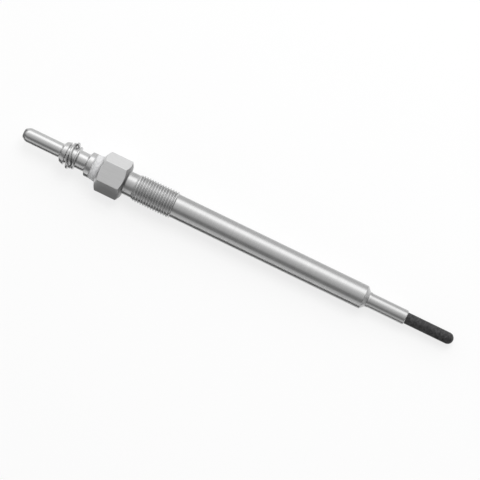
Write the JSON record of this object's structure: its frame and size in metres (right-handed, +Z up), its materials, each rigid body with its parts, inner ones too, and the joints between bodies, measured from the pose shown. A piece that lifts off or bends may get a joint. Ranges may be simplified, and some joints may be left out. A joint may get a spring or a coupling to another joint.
{
  "type": "diesel glow plug",
  "caption": "Ceramic diesel glow plug: hex body with threaded shank and sealing cone, sleeved dark heater tip, push-on pin terminal with a sprung wire ring.",
  "frame": {"origin": "on the plug's axis, where the shank ends and the sealing cone starts", "axes": "+X along the plug's axis towards the heater tip, +Z up out of one hex flat, as the plug lies on the opposite flat"},
  "size_m": [0.1666, 0.015, 0.013],
  "materials": {
    "plated_steel": "bright nickel plate over turned steel",
    "tube_steel": "fine-drawn stainless tube",
    "terminal_steel": "bright nickel plate, turned",
    "spring_steel": "bright drawn spring wire",
    "grey_resin": "matte moulded resin, pale grey",
    "dark_ceramic": "ground silicon nitride, dark grey, satin",
    "element_ceramic": "sintered conductive ceramic",
    "white_ceramic": "unglazed alumina",
    "lead_metal": "drawn tungsten wire",
    "plain_steel": "plain turned steel",
    "braze": "silver braze film",
    "seal_rubber": "moulded fluoro rubber, black"
  },
  "bodies": {
    "root": {"body_shell": "plated_steel", "heater_tube": "tube_steel", "tube_braze": "braze", "ceramic_rod": "dark_ceramic", "heating_element": "element_ceramic", "feed_lead": "lead_metal", "ground_lead": "lead_metal", "end_insulator": "white_ceramic", "contact_cap": "plain_steel", "feed_coil": "plain_steel", "insulating_sleeve": "white_ceramic", "centre_pole": "plain_steel", "damper_tube": "seal_rubber", "front_o_ring": "seal_rubber", "rear_o_ring": "seal_rubber", "insulator_bush": "grey_resin", "terminal_cap": "terminal_steel", "retaining_ring": "spring_steel"}
  },
  "joints": []
}
